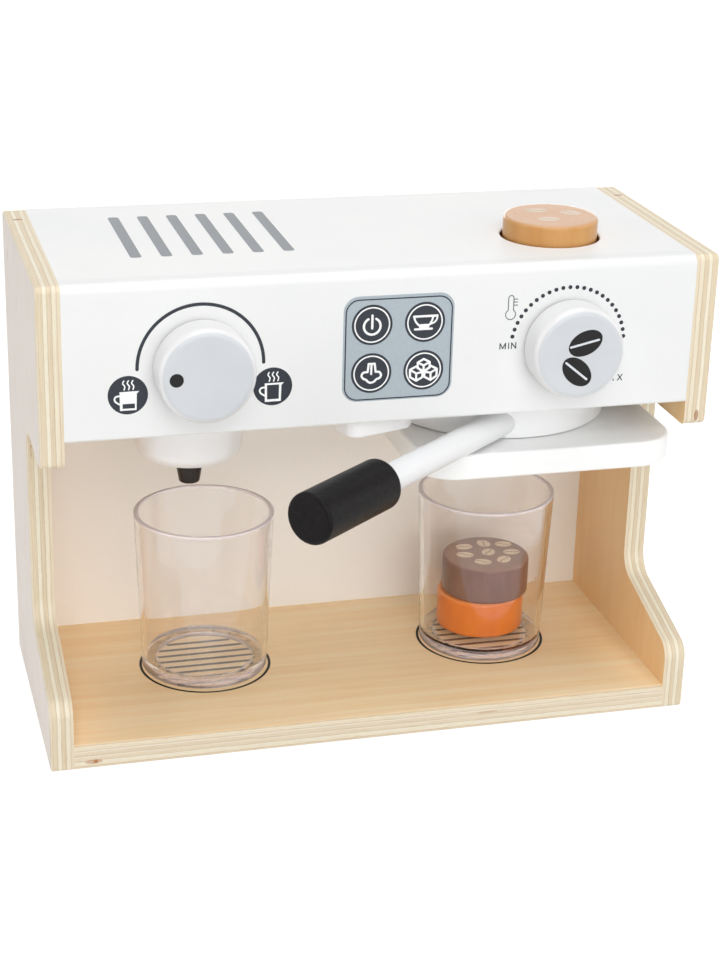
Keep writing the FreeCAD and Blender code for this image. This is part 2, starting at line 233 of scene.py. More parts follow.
def dial(name, node):
    """White turned knob with a cool light grey printed face."""
    s = painted(name, srgb(226, 226, 227), srgb(231, 231, 231), 0.34, None, 0.12, 0.04)
    paint = s.bsdf.inputs["Base Color"].links[0].from_socket
    across, y = s.across(node, False)
    face = s.math("MULTIPLY", s.spread(y, KNOB_Y + 0.0008, KNOB_Y + 0.0016, 1.0, 0.0),
                  s.spread(across, *KNOB_FACE_FADE, 1.0, 0.0))
    tint = s.ramp(s.noise(30, 3), [(0.35, srgb(203, 206, 210)), (0.65, srgb(208, 211, 215))])
    s.colour(s.mix(face, paint, tint))
    return s


def tablet_paint(name, node, side_low, side_high, sheen_top_low, sheen_top_high):
    """Glossy wooden tablet whose printed top face is paler than its sides: the top's own tint with a painted
    reflection of the bright surroundings.
    """
    s = Shader(name, Coat_Weight=0.15, Coat_Roughness=0.08, Specular_IOR_Level=0.3)
    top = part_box(node)[1].z
    grain = s.noise(1.0, 4, 0.6, s.stretched((110, 110, 26)))
    side = s.ramp(grain, [(0.32, side_low), (0.68, side_high)])
    # Top face colour: its own tint made paler, a painted reflection of the bright surroundings
    sheen_cap = s.ramp(s.noise(60, 3), [(0.3, sheen_top_low), (0.7, sheen_top_high)])
    fine = s.noise(900, 3)
    height = s.axes()[2]
    s.colour(s.mix(s.spread(height, top - 0.0009, top - 0.0002), side, sheen_cap))
    s.roughness(fine, 0.27, 0.33)
    s.bump(s.weighted(grain, 0.6, fine, 0.04), 0.03)
    return s


# Woods

# Shares across a side panel, from the outer face to the inner one
LAYERS = [
    (0.00, srgb(233, 223, 201)), (0.09, srgb(232, 221, 197)), (0.11, srgb(212, 193, 163)),
    (0.13, srgb(227, 213, 187)), (0.29, srgb(224, 210, 182)), (0.31, srgb(213, 196, 166)),
    (0.34, srgb(241, 234, 216)), (0.46, srgb(238, 232, 212)), (0.485, srgb(207, 188, 158)),
    (0.51, srgb(226, 212, 186)), (0.63, srgb(224, 207, 179)), (0.66, srgb(205, 187, 157)),
    (0.69, srgb(238, 231, 210)), (0.83, srgb(237, 227, 205)), (0.86, srgb(212, 195, 165)),
    (0.89, srgb(231, 217, 193)), (1.00, srgb(232, 221, 196)),
]
# Shares of the base board's height, from the ground up
BOARD_LAYERS = [
    (0.00, srgb(228, 214, 187)), (0.10, srgb(231, 217, 193)), (0.12, srgb(212, 192, 163)),
    (0.15, srgb(237, 226, 204)), (0.27, srgb(238, 232, 212)), (0.30, srgb(242, 237, 225)),
    (0.33, srgb(214, 198, 168)), (0.36, srgb(228, 214, 188)), (0.47, srgb(231, 217, 194)),
    (0.50, srgb(242, 236, 223)), (0.53, srgb(214, 196, 167)), (0.56, srgb(226, 212, 186)),
    (0.68, srgb(231, 217, 193)), (0.72, srgb(242, 236, 224)), (0.76, srgb(216, 200, 170)),
    (0.80, srgb(237, 226, 203)), (0.92, srgb(233, 222, 197)), (0.94, srgb(209, 188, 158)),
    (1.00, srgb(224, 201, 167)),
]
STREAKS = [(0.3, srgb(222, 206, 182)), (0.48, srgb(252, 251, 250)), (0.7, srgb(240, 232, 222))]
SPECK = srgb(188, 156, 116)


def ply_edge(s, share, along, layers):
    """Colour of a plywood edge from the share across the board, with specks and streaks along it."""
    wave = s.math("MULTIPLY", s.math("SUBTRACT", s.noise(22, 2), 0.5), 0.07)
    wobble = s.math("MULTIPLY", s.math("SUBTRACT", s.noise(380, 3), 0.5), 0.045)
    colour = s.ramp(s.math("ADD", share, s.math("ADD", wave, wobble), True), layers)
    streak = s.noise(1.0, 5, 0.65, s.stretched(along))
    colour = s.mix(0.75, colour, s.ramp(streak, STREAKS), "MULTIPLY")
    speck = s.spread(s.noise(1500, 4, 0.7), 0.58, 0.7)
    return s.mix(s.math("MULTIPLY", speck, 0.34), colour, SPECK), streak


def veneer(s, grain, blotch, low, mid, high):
    """Birch face: long soft figure, thin pores and slow changes of tone."""
    figure = s.noise(1.0, 5, 0.55, s.stretched(grain), 0.6)
    slow = s.noise(1.0, 2, 0.5, s.stretched(blotch), 0.8)
    colour = s.ramp(s.weighted(figure, 0.55, slow, 0.45), [(0.34, low), (0.5, mid), (0.66, high)])
    pores = s.noise(1.0, 4, 0.7, s.stretched(tuple(g * 5 for g in grain)))
    return s.mix(s.math("MULTIPLY", s.spread(pores, 0.56, 0.72), 0.22), colour, low), figure


def side_ply(name, side):
    """Plywood side: painted outside, warm veneer inside, layers on every edge."""
    s = Shader(name, Coat_Weight=0.05)
    depth = s.math("SUBTRACT", s.math("MULTIPLY", s.axes()[0], side), PLY_INNER_X)
    share = s.math("SUBTRACT", 1.0, s.math("DIVIDE", depth, PLY_THICKNESS))
    edge, streak = ply_edge(s, share, (2600, 45, 45), LAYERS)
    knots = [((side * 0.1447, 0.0469, 0.2215), (0.0028, 0.0016, 0.0016), 0.75),
             ((-0.1490, BACK - 0.0702, 0.1620), (0.0012, 0.0018, 0.0090), 0.75),
             ((-0.1478, BACK - 0.0735, 0.1300), (0.0012, 0.0018, 0.0100), 0.75),
             ((0.1452, FRONT_Y, 0.1468), (0.0013, 0.0020, 0.0032), 0.75)]
    edge = s.marked(edge, knots, srgb(160, 106, 62))
    face, figure = veneer(s, (90, 90, 9), (14, 14, 5), srgb(240, 193, 138), srgb(246, 205, 150),
                          srgb(249, 212, 162))
    paint = s.ramp(s.noise(1.0, 4, 0.6, s.stretched((260, 260, 16))),
                   [(0.3, srgb(233, 221, 211)), (0.7, srgb(238, 227, 217))])
    stains = [((-0.150, BACK - 0.0205, 0.2060), (0.002, 0.0012, 0.0040), 0.5),
              ((-0.150, BACK - 0.0530, 0.1930), (0.002, 0.0008, 0.0050), 0.5)]
    paint = s.marked(paint, stains, srgb(190, 150, 110))
    facing_in = s.math("MULTIPLY", s.normal()[0], -side)
    colour = s.mix(s.math("GREATER_THAN", facing_in, 0.7), edge, face)
    outside = s.spread(depth, PLY_THICKNESS - 0.00025, PLY_THICKNESS - 0.00004)
    s.colour(s.mix(outside, colour, paint))
    s.roughness(streak, 0.42, 0.56)
    s.bump(s.weighted(streak, 0.5, figure, 0.4), 0.16)
    return s


def base_ply():
    """Base board: warm veneer on top and below, layers on the front edge."""
    s = Shader("base_plywood", Coat_Weight=0.1, Coat_Roughness=0.2)
    share = s.math("DIVIDE", s.axes()[2], BASE_Z)
    edge, streak = ply_edge(s, share, (45, 45, 2600), BOARD_LAYERS)
    knots = [((-0.1308, FOOT_Y, 0.0034), (0.0046, 0.0030, 0.0013), 0.55),
             ((-0.1300, FOOT_Y, 0.0033), (0.0013, 0.0030, 0.0010), 0.9),
             ((0.0520, FOOT_Y, 0.0075), (0.0060, 0.0030, 0.0007), 0.35)]
    edge = s.marked(edge, knots, srgb(176, 112, 58))
    face, figure = veneer(s, (9, 190, 190), (4, 15, 15), srgb(240, 204, 152), srgb(246, 217, 172),
                          srgb(249, 229, 193))
    flat = s.spread(s.math("ABSOLUTE", s.normal()[2]), 0.75, 0.9)
    s.colour(s.mix(flat, edge, face))
    s.roughness(streak, 0.36, 0.5)
    s.bump(s.weighted(streak, 0.4, figure, 0.5), 0.14)
    return s


def bare_wood():
    """Unpainted wood of the pieces inside the head."""
    s = Shader("bare_wood")
    colour, figure = veneer(s, (12, 160, 160), (8, 30, 30), srgb(203, 172, 130), srgb(214, 186, 146),
                            srgb(224, 199, 163))
    s.colour(colour)
    s.roughness(figure, 0.6, 0.75)
    s.bump(figure, 0.2)
    return s


# Black pieces, plastic, felt, steel and ink

def black_grip():
    """Matte black stain through which the turned wood grain shows."""
    s = Shader("grip_black_stain", Specular_IOR_Level=0.12)
    fibre = s.noise(1.0, 5, 0.65, s.stretched((22, 620, 620), HANDLE_TURN))
    fine = s.noise(1400, 3, 0.6)
    s.colour(s.ramp(fibre, [(0.3, srgb(8, 6, 6)), (0.55, srgb(15, 12, 12)), (0.75, srgb(28, 24, 23))]))
    s.roughness(fine, 0.34, 0.5)
    s.bump(s.weighted(fibre, 0.9, fine, 0.3), 0.32)
    return s


def black_nozzle():
    """Satin black paint with faint turning rings."""
    s = Shader("nozzle_black_paint", Coat_Weight=0.1, Coat_Roughness=0.15, Specular_IOR_Level=0.3)
    rings = s.noise(1.0, 3, 0.5, s.stretched((60, 60, 900)))
    s.colour(s.ramp(rings, [(0.3, srgb(22, 16, 14)), (0.7, srgb(36, 28, 25))]))
    s.roughness(s.noise(900), 0.28, 0.4)
    s.bump(rings, 0.12)
    return s


def clear_plastic(node):
    """Clear moulded cup: faint flow lines, a rim and foot made pale and less clear as painted highlights of
    the light caught in the thick plastic, and no heavy shadow.
    """
    s = Shader("clear_plastic_" + node, IOR=1.42)
    across, z = s.across(node)
    rim = s.spread(z, CUP_TOP - 0.0013, CUP_TOP - 0.0008)
    foot = s.math("MULTIPLY", s.spread(z, BASE_Z + 0.0062, BASE_Z + 0.0050),
                  s.spread(across, 0.0212, 0.0236))
    flow = s.noise(1.0, 3, 0.5, s.stretched((90, 90, 10)))
    streaks = s.noise(1.0, 3, 0.6, s.stretched((60, 60, 900)))
    clear = s.ramp(flow, [(0.3, (0.972, 0.962, 0.968, 1)), (0.7, (0.992, 0.986, 0.989, 1))])
    # Rim and foot: pale colour and less transmission, in bands on the foot, a painted highlight of the light
    # caught in the thick plastic
    s.colour(s.mix(s.math("MAXIMUM", rim, foot), clear, srgb(246, 236, 240)))
    painted_highlight = s.math("ADD", s.math("MULTIPLY", rim, 0.7),
                   s.math("MULTIPLY", foot, s.spread(streaks, 0.35, 0.65, 0.12, 0.42)), True)
    s.put(s.bsdf.inputs["Transmission Weight"], s.math("SUBTRACT", 1.0, painted_highlight))
    s.put(s.bsdf.inputs["Roughness"], s.spread(s.noise(260, 3), 0.3, 0.7, 0.0, 0.012, False))
    s.bump(flow, 0.05, 0.0006)
    # Shadow and diffuse rays pass, so that light reaches the inside of the cup
    path = s.node("ShaderNodeLightPath").outputs
    unseen = s.math("MAXIMUM", path["Is Shadow Ray"], path["Is Diffuse Ray"])
    s.put(s.bsdf.inputs["Alpha"], s.spread(unseen, 0.0, 1.0, 1.0, 0.1, False))
    return s


def felt():
    """Pressed felt of the washers behind the dials."""
    s = Shader("washer_felt", Sheen_Weight=0.4)
    hair = s.noise(2600, 5, 0.7)
    s.colour(s.ramp(hair, [(0.3, srgb(188, 186, 180)), (0.7, srgb(222, 220, 214))]))
    s.roughness(hair, 0.85, 1.0)
    s.bump(hair, 0.6)
    return s


def steel():
    """Zinc-plated steel of the pin and the screws."""
    s = Shader("zinc_steel", Metallic=1.0)
    grain = s.noise(1.0, 4, 0.6, s.stretched((300, 300, 2400)))
    s.colour(s.ramp(grain, [(0.3, srgb(176, 178, 180)), (0.7, srgb(206, 207, 208))]))
    s.roughness(grain, 0.28, 0.42)
    s.bump(grain, 0.1)
    return s


def ink(name, low, high):
    """Screen print: even colour with the fine grain of a printed film."""
    s = Shader(name, Specular_IOR_Level=0.25)
    grain = s.noise(1600, 4, 0.65)
    s.colour(s.ramp(grain, [(0.34, low), (0.62, high)]))
    s.roughness(grain, 0.36, 0.5)
    s.bump(grain, 0.05)
    return s.material


white_board = painted("white_board_paint", srgb(231, 232, 232), srgb(235, 236, 235), 0.46, BOARD_GRAIN)
white_plate = painted("white_plate_paint", srgb(245, 246, 245), srgb(249, 249, 248), 0.42, BOARD_GRAIN)
white_turned = painted("white_turned_paint", srgb(245, 245, 246), srgb(249, 249, 249), 0.32,
                       None, 0.15, 0.04)
rod_white = painted("rod_white_paint", srgb(226, 227, 228), srgb(231, 231, 232), 0.34, ROD_GRAIN, 0.1, 0.08)
back_board = painted("back_board_paint", srgb(246, 242, 236), srgb(250, 247, 243), 0.55, UPRIGHT_GRAIN)

dress(["side_panel_left"], side_ply("side_plywood_left", -1))
dress(["side_panel_right"], side_ply("side_plywood_right", 1))
dress(["base_board"], base_ply())
dress(["back_panel"], back_board)
dress(["top_panel"], top_board())
dress(["front_panel"], white_board)
dress(["holder_plate", "head_floor"], white_plate)
dress(["handle_stop", "spout_funnel", "portafilter_drum"], white_turned)
dress(["portafilter_rod"], rod_white)
dress(["portafilter_grip"], black_grip())
dress(["spout_nozzle"], black_nozzle())
dress(["dial_knob_left"], dial("dial_paint_left", "dial_knob_left"))
dress(["dial_knob_right"], dial("dial_paint_right", "dial_knob_right"))
dress(["cup_left"], clear_plastic("cup_left"))
dress(["cup_right"], clear_plastic("cup_right"))
dress(["floor_rails", "corner_blocks", "tablet_shelf", "panel_dowels", "dial_axle_left",
       "dial_axle_right", "dial_collar_left", "dial_collar_right"], bare_wood())
dress(["dial_washer_left", "dial_washer_right"], felt())
dress(["spout_screw", "pivot_pin", "dial_screw_left", "dial_screw_right"], steel())
dress(["tablet_top"], tablet_paint("caramel_paint", "tablet_top", srgb(196, 141, 80), srgb(206, 154, 92),
                                   srgb(206, 158, 116), srgb(209, 163, 122)))
dress(["tablet_low"], tablet_paint("orange_paint", "tablet_low", srgb(218, 104, 0), srgb(229, 119, 0),
                                   srgb(230, 128, 50), srgb(236, 140, 64)))
dress(["tablet_high"], tablet_paint("brown_paint", "tablet_high", srgb(108, 68, 56), srgb(130, 88, 74),
                                    srgb(146, 108, 90), srgb(160, 122, 102)))

dark_ink = ink("print_dark", srgb(44, 48, 55), srgb(52, 56, 64))
black_ink = ink("print_black", srgb(14, 13, 15), srgb(22, 21, 23))
grey_ink = ink("print_grey", srgb(126, 130, 135), srgb(138, 142, 147))
thin_grey_ink = ink("print_thin_grey", srgb(84, 86, 90), srgb(100, 102, 106))
pad_ink = ink("print_pad", srgb(166, 177, 185), srgb(176, 187, 194))
white_ink = ink("print_white", srgb(242, 243, 244), srgb(250, 250, 250))
groove_ink = ink("print_groove", srgb(214, 218, 224), srgb(222, 226, 231))
cream_ink = ink("print_cream", srgb(216, 196, 176), srgb(226, 208, 190))
cream_groove_ink = ink("print_cream_groove", srgb(188, 158, 128), srgb(196, 167, 138))
beige_ink = ink("print_beige", srgb(226, 200, 172), srgb(238, 216, 190))
beige_groove_ink = ink("print_beige_groove", srgb(132, 100, 82), srgb(146, 112, 94))


# Prints. Their places and sizes are in millimetres, and these three turn them into
# metres: on the front board, on a knob's face and on a level surface.

MM = 0.001

# Levels of the films that lie on others, and of the films of the beans and under the cups
SECOND, THIRD = 2, 3
BEAN_LEVEL, GROOVE_LEVEL = 0.8, 1.3
FLOOR_LEVEL = 0.6


def on_front(u, v, h):
    return Vector((u * MM, FRONT_Y - h * MM, v * MM))


def on_knob(node):
    centre = middle(node)
    return lambda u, v, h: Vector((centre.x + u * MM, KNOB_Y - h * MM, centre.z + v * MM))


def on_level(x, y, z):
    return lambda u, v, h: Vector((x + u * MM, y + v * MM, z + h * MM))


def arc(cx, cy, r, start, end, count):
    """Points on a circle from one angle to another, in degrees."""
    out = []
    for i in range(count + 1):
        a = math.radians(start + (end - start) * i / count)
        out.append((cx + r * math.cos(a), cy + r * math.sin(a)))
    return out


def circle(cx, cy, r, count):
    return arc(cx, cy, r, 0, 360, count)[:-1]


def placed(points, centre, turn=0.0):
    """Points turned by some degrees and then moved to a centre."""
    c, s = math.cos(math.radians(turn)), math.sin(math.radians(turn))
    return [(centre[0] + u * c - v * s, centre[1] + u * s + v * c) for u, v in points]


def ellipse(centre, a, b, turn, count=48):
    steps = [2 * math.pi * i / count for i in range(count)]
    return placed([(a * math.cos(t), b * math.sin(t)) for t in steps], centre, turn)


def rounded(x0, y0, x1, y1, r, count=8):
    """Rectangle with round corners, anticlockwise."""
    corners = ((x1 - r, y1 - r), (x0 + r, y1 - r), (x0 + r, y0 + r), (x1 - r, y0 + r))
    out = []
    for quarter, (cx, cy) in enumerate(corners):
        out += arc(cx, cy, r, 90 * quarter, 90 * quarter + 90, count)
    return out


def smooth(points, steps=6):
    """Catmull-Rom curve through the points."""
    last = len(points) - 1
    out = []
    for i in range(last):
        p = [points[max(i - 1, 0)], points[i], points[i + 1], points[min(i + 2, last)]]
        for k in range(steps):
            t = k / steps
            out.append(tuple(
                0.5 * (2 * p[1][j] + (p[2][j] - p[0][j]) * t
                       + (2 * p[0][j] - 5 * p[1][j] + 4 * p[2][j] - p[3][j]) * t * t
                       + (3 * p[1][j] - p[0][j] - 3 * p[2][j] + p[3][j]) * t ** 3)
                for j in (0, 1)))
    return out + [points[-1]]


def round_end(before, end, r):
    """Points of the half circle that closes a line at its end."""
    along = Vector(end) - Vector(before)
    turn = math.degrees(math.atan2(along.y, along.x))
    return arc(end[0], end[1], r, turn + 90, turn - 90, 8)[1:-1]


class Print:
    """Flat printed shapes, each a closed film a hair thick on its surface.

    A film is as thick as its level times INK, so one of the second level covers one of the first.
    """

    INK = 0.05
    FOOT = -0.02    # every film starts a little inside the surface
    RISE = 0.0015   # and ends over the one before, so that two that cross share no plane

    def __init__(self, place):
        self.place = place
        self.verts = []
        self.faces = []
        self.rise = 0.0

    def heights(self, level):
        """Foot and top of the next film, which ends a hair over the one before it."""
        self.rise += self.RISE
        return self.FOOT, self.INK * level + self.rise

    def shape(self, loop, level=1):
        area = sum(a[0] * b[1] - b[0] * a[1] for a, b in zip(loop, loop[1:] + loop[:1]))
        loop = loop if area > 0 else loop[::-1]
        n, first = len(loop), len(self.verts)
        for height in self.heights(level):
            self.verts += [self.place(u, v, height) for u, v in loop]
        self.faces.append([first + n + i for i in range(n)])
        self.faces.append([first + i for i in reversed(range(n))])
        for i in range(n):
            j = (i + 1) % n
            self.faces.append([first + i, first + j, first + n + j, first + n + i])

    def band(self, outer, inner, level=1):
        """Film between two loops of the same count, both anticlockwise."""
        n, first = len(outer), len(self.verts)
        heights = self.heights(level)
        for loop in (outer, inner):
            for height in heights:
                self.verts += [self.place(u, v, height) for u, v in loop]
        low_o, top_o, low_i, top_i = (first + k * n for k in range(4))
        for i in range(n):
            j = (i + 1) % n
            self.faces.append([top_o + i, top_o + j, top_i + j, top_i + i])
            self.faces.append([low_o + j, low_o + i, low_i + i, low_i + j])
            self.faces.append([low_o + i, low_o + j, top_o + j, top_o + i])
            self.faces.append([low_i + j, low_i + i, top_i + i, top_i + j])

    def ring(self, cx, cy, r, width, level=1):
        self.band(circle(cx, cy, r + width / 2, 96), circle(cx, cy, r - width / 2, 96), level)

    def stroke(self, points, width, level=1):
        """Line of even width with round ends."""
        half = width / 2
        n = len(points)
        left, right = [], []
        for i in range(n):
            a = Vector(points[max(i - 1, 0)])
            b = Vector(points[min(i + 1, n - 1)])
            here = Vector(points[i])
            along = (b - a).normalized()
            side = Vector((-along.y, along.x))
            grow = 1.0
            if 0 < i < n - 1:
                step = (b - here).normalized()
                grow = min(1 / max(abs(Vector((-step.y, step.x)).dot(side)), 0.4), 1.6)
            left.append(tuple(here + side * half * grow))
            right.append(tuple(here - side * half * grow))
        far_end = round_end(points[-2], points[-1], half)
        near_end = round_end(points[1], points[0], half)
        self.shape(left + far_end + right[::-1] + near_end, level)

    def piece(self, name, body, material):
        mesh = bpy.data.meshes.new(name)
        mesh.from_pydata([tuple(v) for v in self.verts], [], self.faces)
        mesh.validate()
        mesh.materials.append(material)
        made = bpy.data.objects.new(name, mesh)
        bpy.context.scene.collection.objects.link(made)
        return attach(made, body)


# Six vent stripes on the top, with their places from the back of the case
VENT_LEFTS = (-104.65, -91.35, -78.05, -64.65, -51.35, -37.85)
VENT_WIDTH = 4.9
VENT_FRONT = -89.6
VENT_BACK = -21.5
vents = Print(on_level(0, BACK, TOP_Z))
for left in VENT_LEFTS:
    vents.shape(rounded(left, VENT_FRONT, left + VENT_WIDTH, VENT_BACK, 1.6))
vents.piece("top_vents", "case", grey_ink)

# Arc over the left dial
LEFT_SCALE = (-81.65, 184.3)
LEFT_SCALE_RADIUS = 26.83
scale_line = Print(on_front)
scale_line.stroke(arc(*LEFT_SCALE, LEFT_SCALE_RADIUS, 180, 0, 90), 1.45)
scale_line.piece("left_dial_arc", "case", dark_ink)

# Two round cup marks at the ends of the arc, one little filled and one full
LOW_FILL = [(-2.3, -3.8), (-2.3, -5.85), (2.85, -5.85), (2.85, -3.8)]
HIGH_FILL = [(-2.5, 0.75), (-2.45, -5.6), (2.6, -5.6), (2.7, 0.75)]
CUP_MARKS = (((-112.5, 173.3), LOW_FILL), ((-50.8, 173.2), HIGH_FILL))
CUP_MARK_RADIUS = 8.45
MUG = [(-3.5, 1.55), (-3.4, -6.75), (3.55, -6.7), (3.75, 0.5), (4.8, 1.6)]
MUG_HANDLE = smooth([(-3.3, -0.2), (-5.0, -0.45), (-5.65, -1.65), (-4.95, -2.95), (-3.3, -4.0)])
WISP = smooth([(0.05, 6.35), (-0.45, 5.2), (0.4, 3.9), (0.1, 2.45)])
WISP_SHIFTS = (-1.65, 0.25, 2.1)
marks = Print(on_front)
mugs = Print(on_front)
fills = Print(on_front)
for centre, fill in CUP_MARKS:
    marks.shape(circle(*centre, CUP_MARK_RADIUS, 72))
    mugs.shape(placed(MUG, centre), SECOND)
    fills.shape(placed(fill, centre), THIRD)
    mugs.stroke(placed(MUG_HANDLE, centre), 0.75, SECOND)
    for shift in WISP_SHIFTS:
        mugs.stroke(placed(WISP, (centre[0] + shift, centre[1])), 0.55, SECOND)
marks.piece("cup_marks", "case", dark_ink)
mugs.piece("cup_mark_shapes", "case", white_ink)
fills.piece("cup_mark_fills", "case", dark_ink)

# Button pad with a thin frame line and four round buttons
BUTTONS = {"power": (-7.85, 198.0), "cup": (15.5, 198.05), "steam": (-7.7, 176.45), "ice": (15.55, 176.45)}
BUTTON_RADIUS = 8.95
BUTTON_RING_RADIUS = 7.62
PAD = rounded(-20.5, 163.8, 28.5, 210.8, 6.8, 12)
FRAME_OUTER = rounded(-19.65, 164.3, 27.75, 209.5, 6.1, 12)
FRAME_INNER = rounded(-19.1, 164.85, 27.2, 208.95, 5.6, 12)
pad = Print(on_front)
pad.shape(PAD)
pad.piece("button_pad", "case", pad_ink)

discs = Print(on_front)
discs.band(FRAME_OUTER, FRAME_INNER, SECOND)
signs = Print(on_front)
for cx, cy in BUTTONS.values():
    discs.shape(circle(cx, cy, BUTTON_RADIUS, 72), SECOND)
    signs.ring(cx, cy, BUTTON_RING_RADIUS, 0.6, THIRD)
discs.piece("button_discs", "case", dark_ink)

# Signs on the buttons, from each button's centre: lines with their widths, and with
# no width a filled outline. An ice cube has a corner near its middle and six round it.
STEAM_CLOUD = smooth([(-1.6, 0.6), (-3.45, 0.4), (-4.3, -0.9), (-3.6, -2.25), (-2.3, -2.85), (-1.3, -3.9),
                      (-0.1, -4.3), (1.25, -3.9), (2.4, -2.85), (3.6, -2.4), (4.35, -1.2), (3.6, 0.3),
                      (1.9, 0.5)])
SIGNS = [
    ("power", 1.0, arc(0, -0.6, 3.65, 118, 422, 44)),
    ("power", 1.0, [(0, 4.2), (0, -1.5)]),
    ("cup", 0.85, smooth([(-4.9, 2.5), (-4.3, 0.6), (-2.9, -1.2)])),
    ("cup", 0.85, smooth([(2.1, -1.2), (3.1, 0.6), (3.6, 2.5)])),
    ("cup", 1.0, [(-4.95, 2.6), (5.4, 2.6)]),
    ("cup", 0.75, smooth([(5.35, 2.5), (5.3, 1.2), (4.3, -0.2), (2.3, -1.1)])),
    ("cup", None, [(-3.0, -0.9), (2.3, -0.9), (1.7, -3.0), (-2.35, -3.0)]),
    ("cup", 0.95, [(-4.4, -3.1), (3.15, -3.1)]),
    ("steam", 0.95, [(-1.6, 0.6), (-1.25, 4.2)]),
    ("steam", 0.95, [(-1.3, 4.2), (1.35, 4.2)]),
    ("steam", 0.95, [(1.4, 4.2), (1.9, 0.5)]),
    ("steam", 0.9, [(0.02, 4.1), (-0.05, -0.45)]),
    ("steam", 0.95, STEAM_CLOUD),
]
ICE_CUBES = [
    ((0.05, 2.1), [(0, 5.0), (2.75, 3.45), (2.75, 0.9), (0.1, -0.5), (-2.6, 1.0), (-2.65, 3.5)]),
    ((-3.2, -1.35), [(-3.2, 1.85), (-6.0, 0.45), (-5.9, -2.9), (-3.05, -4.7), (-0.35, -3.2), (-0.35, -0.9)]),
    ((3.3, -1.35), [(3.2, 1.75), (6.05, 0.2), (6.0, -3.0), (3.35, -4.7), (0.5, -3.1), (0.5, -0.9)]),
]
for heart, corners in ICE_CUBES:
    SIGNS += [("ice", 0.95, [a, b]) for a, b in zip(corners, corners[1:] + corners[:1])]
    SIGNS += [("ice", 0.9, [heart, corner]) for corner in corners[1::2]]
for name, width, points in SIGNS:
    if width is None:
        signs.shape(placed(points, BUTTONS[name]), THIRD)
    else:
        signs.stroke(placed(points, BUTTONS[name]), width, THIRD)
signs.piece("button_signs", "case", white_ink)

# Dot scale round the right dial
RIGHT_SCALE = (80.93, 184.05)
RIGHT_SCALE_RADIUS = 26.09
DOT_COUNT = 24
DOT_RADIUS = 0.92
FIRST_DOT, LAST_DOT = 168.7, 5.4
dots = Print(on_front)
for cx, cy in arc(*RIGHT_SCALE, RIGHT_SCALE_RADIUS, FIRST_DOT, LAST_DOT, DOT_COUNT - 1):
    dots.shape(circle(cx, cy, DOT_RADIUS, 24))
dots.piece("right_dial_dots", "case", dark_ink)

# Thermometer with three short lines beside it
THIN_LINE = 0.4
TUBE_JOIN = [(55.15, 201.15)]
TUBE = TUBE_JOIN + arc(53.95, 199.2, 2.25, 58, -238, 30) + arc(53.95, 206.55, 1.2, 180, 0, 14) + TUBE_JOIN
thermometer = Print(on_front)
thermometer.stroke(TUBE, THIN_LINE)
for height in (206.05, 204.72, 203.35):
    thermometer.stroke([(55.35, height), (56.9, height)], THIN_LINE)
thermometer.piece("thermometer_mark", "case", thin_grey_ink)

# The words MIN and MAX: each letter with its left edge, width and foot
LETTERS = {
    "M": [[(0, 0), (0, 1), (0.5, 0.08), (1, 1), (1, 0)]],
    "I": [[(0, 0), (0, 1)]],
    "N": [[(0, 0), (0, 1), (1, 0), (1, 1)]],
    "A": [[(0, 0), (0.5, 1), (1, 0)], [(0.2, 0.33), (0.8, 0.33)]],
    "X": [[(0, 0), (1, 1)], [(0, 1), (1, 0)]],
}
LETTER_HEIGHT = 2.6
LETTER_LINE = 0.44
MIN_FOOT, MAX_FOOT = 183.75, 166.05
TYPESET = (("M", 49.9, 2.45, MIN_FOOT), ("I", 53.85, 0, MIN_FOOT), ("N", 55.15, 1.95, MIN_FOOT),
           ("M", 98.6, 2.45, MAX_FOOT), ("A", 101.5, 2.3, MAX_FOOT), ("X", 105.8, 1.9, MAX_FOOT))
words = Print(on_front)
for letter, left, width, low in TYPESET:
    for line in LETTERS[letter]:
        points = [(left + u * width, low + v * LETTER_HEIGHT) for u, v in line]
        for a, b in zip(points, points[1:]):
            words.stroke([a, b], LETTER_LINE)
words.piece("min_max_words", "case", dark_ink)

# Marks on the knobs
dot = Print(on_knob("dial_knob_left"))
dot.shape(circle(-13.4, -0.4, 2.95, 48))
dot.piece("left_knob_dot", "left_dial", black_ink)

bean_film = Print(on_knob("dial_knob_right"))
bean_line = Print(on_knob("dial_knob_right"))
bean_film.shape(ellipse((1.83, 5.3), 8.0, 5.4, 25))
bean_film.shape(ellipse((-1.4, -7.45), 8.0, 5.3, -44))
bean_line.stroke([(-4.8, 3.75), (7.8, 6.6)], 0.95, SECOND)
bean_line.stroke([(-6.5, -3.15), (3.2, -11.05)], 0.95, SECOND)
bean_film.piece("right_knob_beans", "right_dial", black_ink)
bean_line.piece("right_knob_bean_lines", "right_dial", groove_ink)


def bean_set(name, node, body, film, line, beans, a, b):
    """Printed coffee beans with a curved groove, on top of a tablet. a and b are half a bean's sizes."""
    centre = middle(node)
    place = on_level(centre.x, centre.y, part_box(node)[1].z)
    shapes, grooves = Print(place), Print(place)
    groove = smooth([(-0.95 * a, 0.02 * b), (-0.45 * a, 0.2 * b), (0, 0),
                     (0.45 * a, -0.2 * b), (0.95 * a, -0.02 * b)], 4)
    for x, y, turn in beans:
        shapes.shape(ellipse((x, y), a, b, turn, 36), BEAN_LEVEL)
        grooves.stroke(placed(groove, (x, y), turn), 0.13 * b, GROOVE_LEVEL)
    shapes.piece(name, body, film)
    grooves.piece(name + "_grooves", body, line)


CARAMEL_BEANS = [(-3.7, 9.0, -2), (10.4, 2.6, -38), (-3.2, -6.6, -6)]
BROWN_BEANS = [(-8.3, 9.6, 4), (2.6, 11.6, 96), (12.0, 8.9, -8), (-10.7, 0.2, -22), (1.6, 1.0, 58),
               (13.0, -1.0, 0), (-4.6, -9.6, -28), (6.4, -8.9, 50)]
bean_set("caramel_beans", "tablet_top", "top_tablet", cream_ink, cream_groove_ink, CARAMEL_BEANS, 5.2, 3.6)
bean_set("brown_beans", "tablet_high", "high_tablet", beige_ink, beige_groove_ink, BROWN_BEANS, 4.3, 3.2)

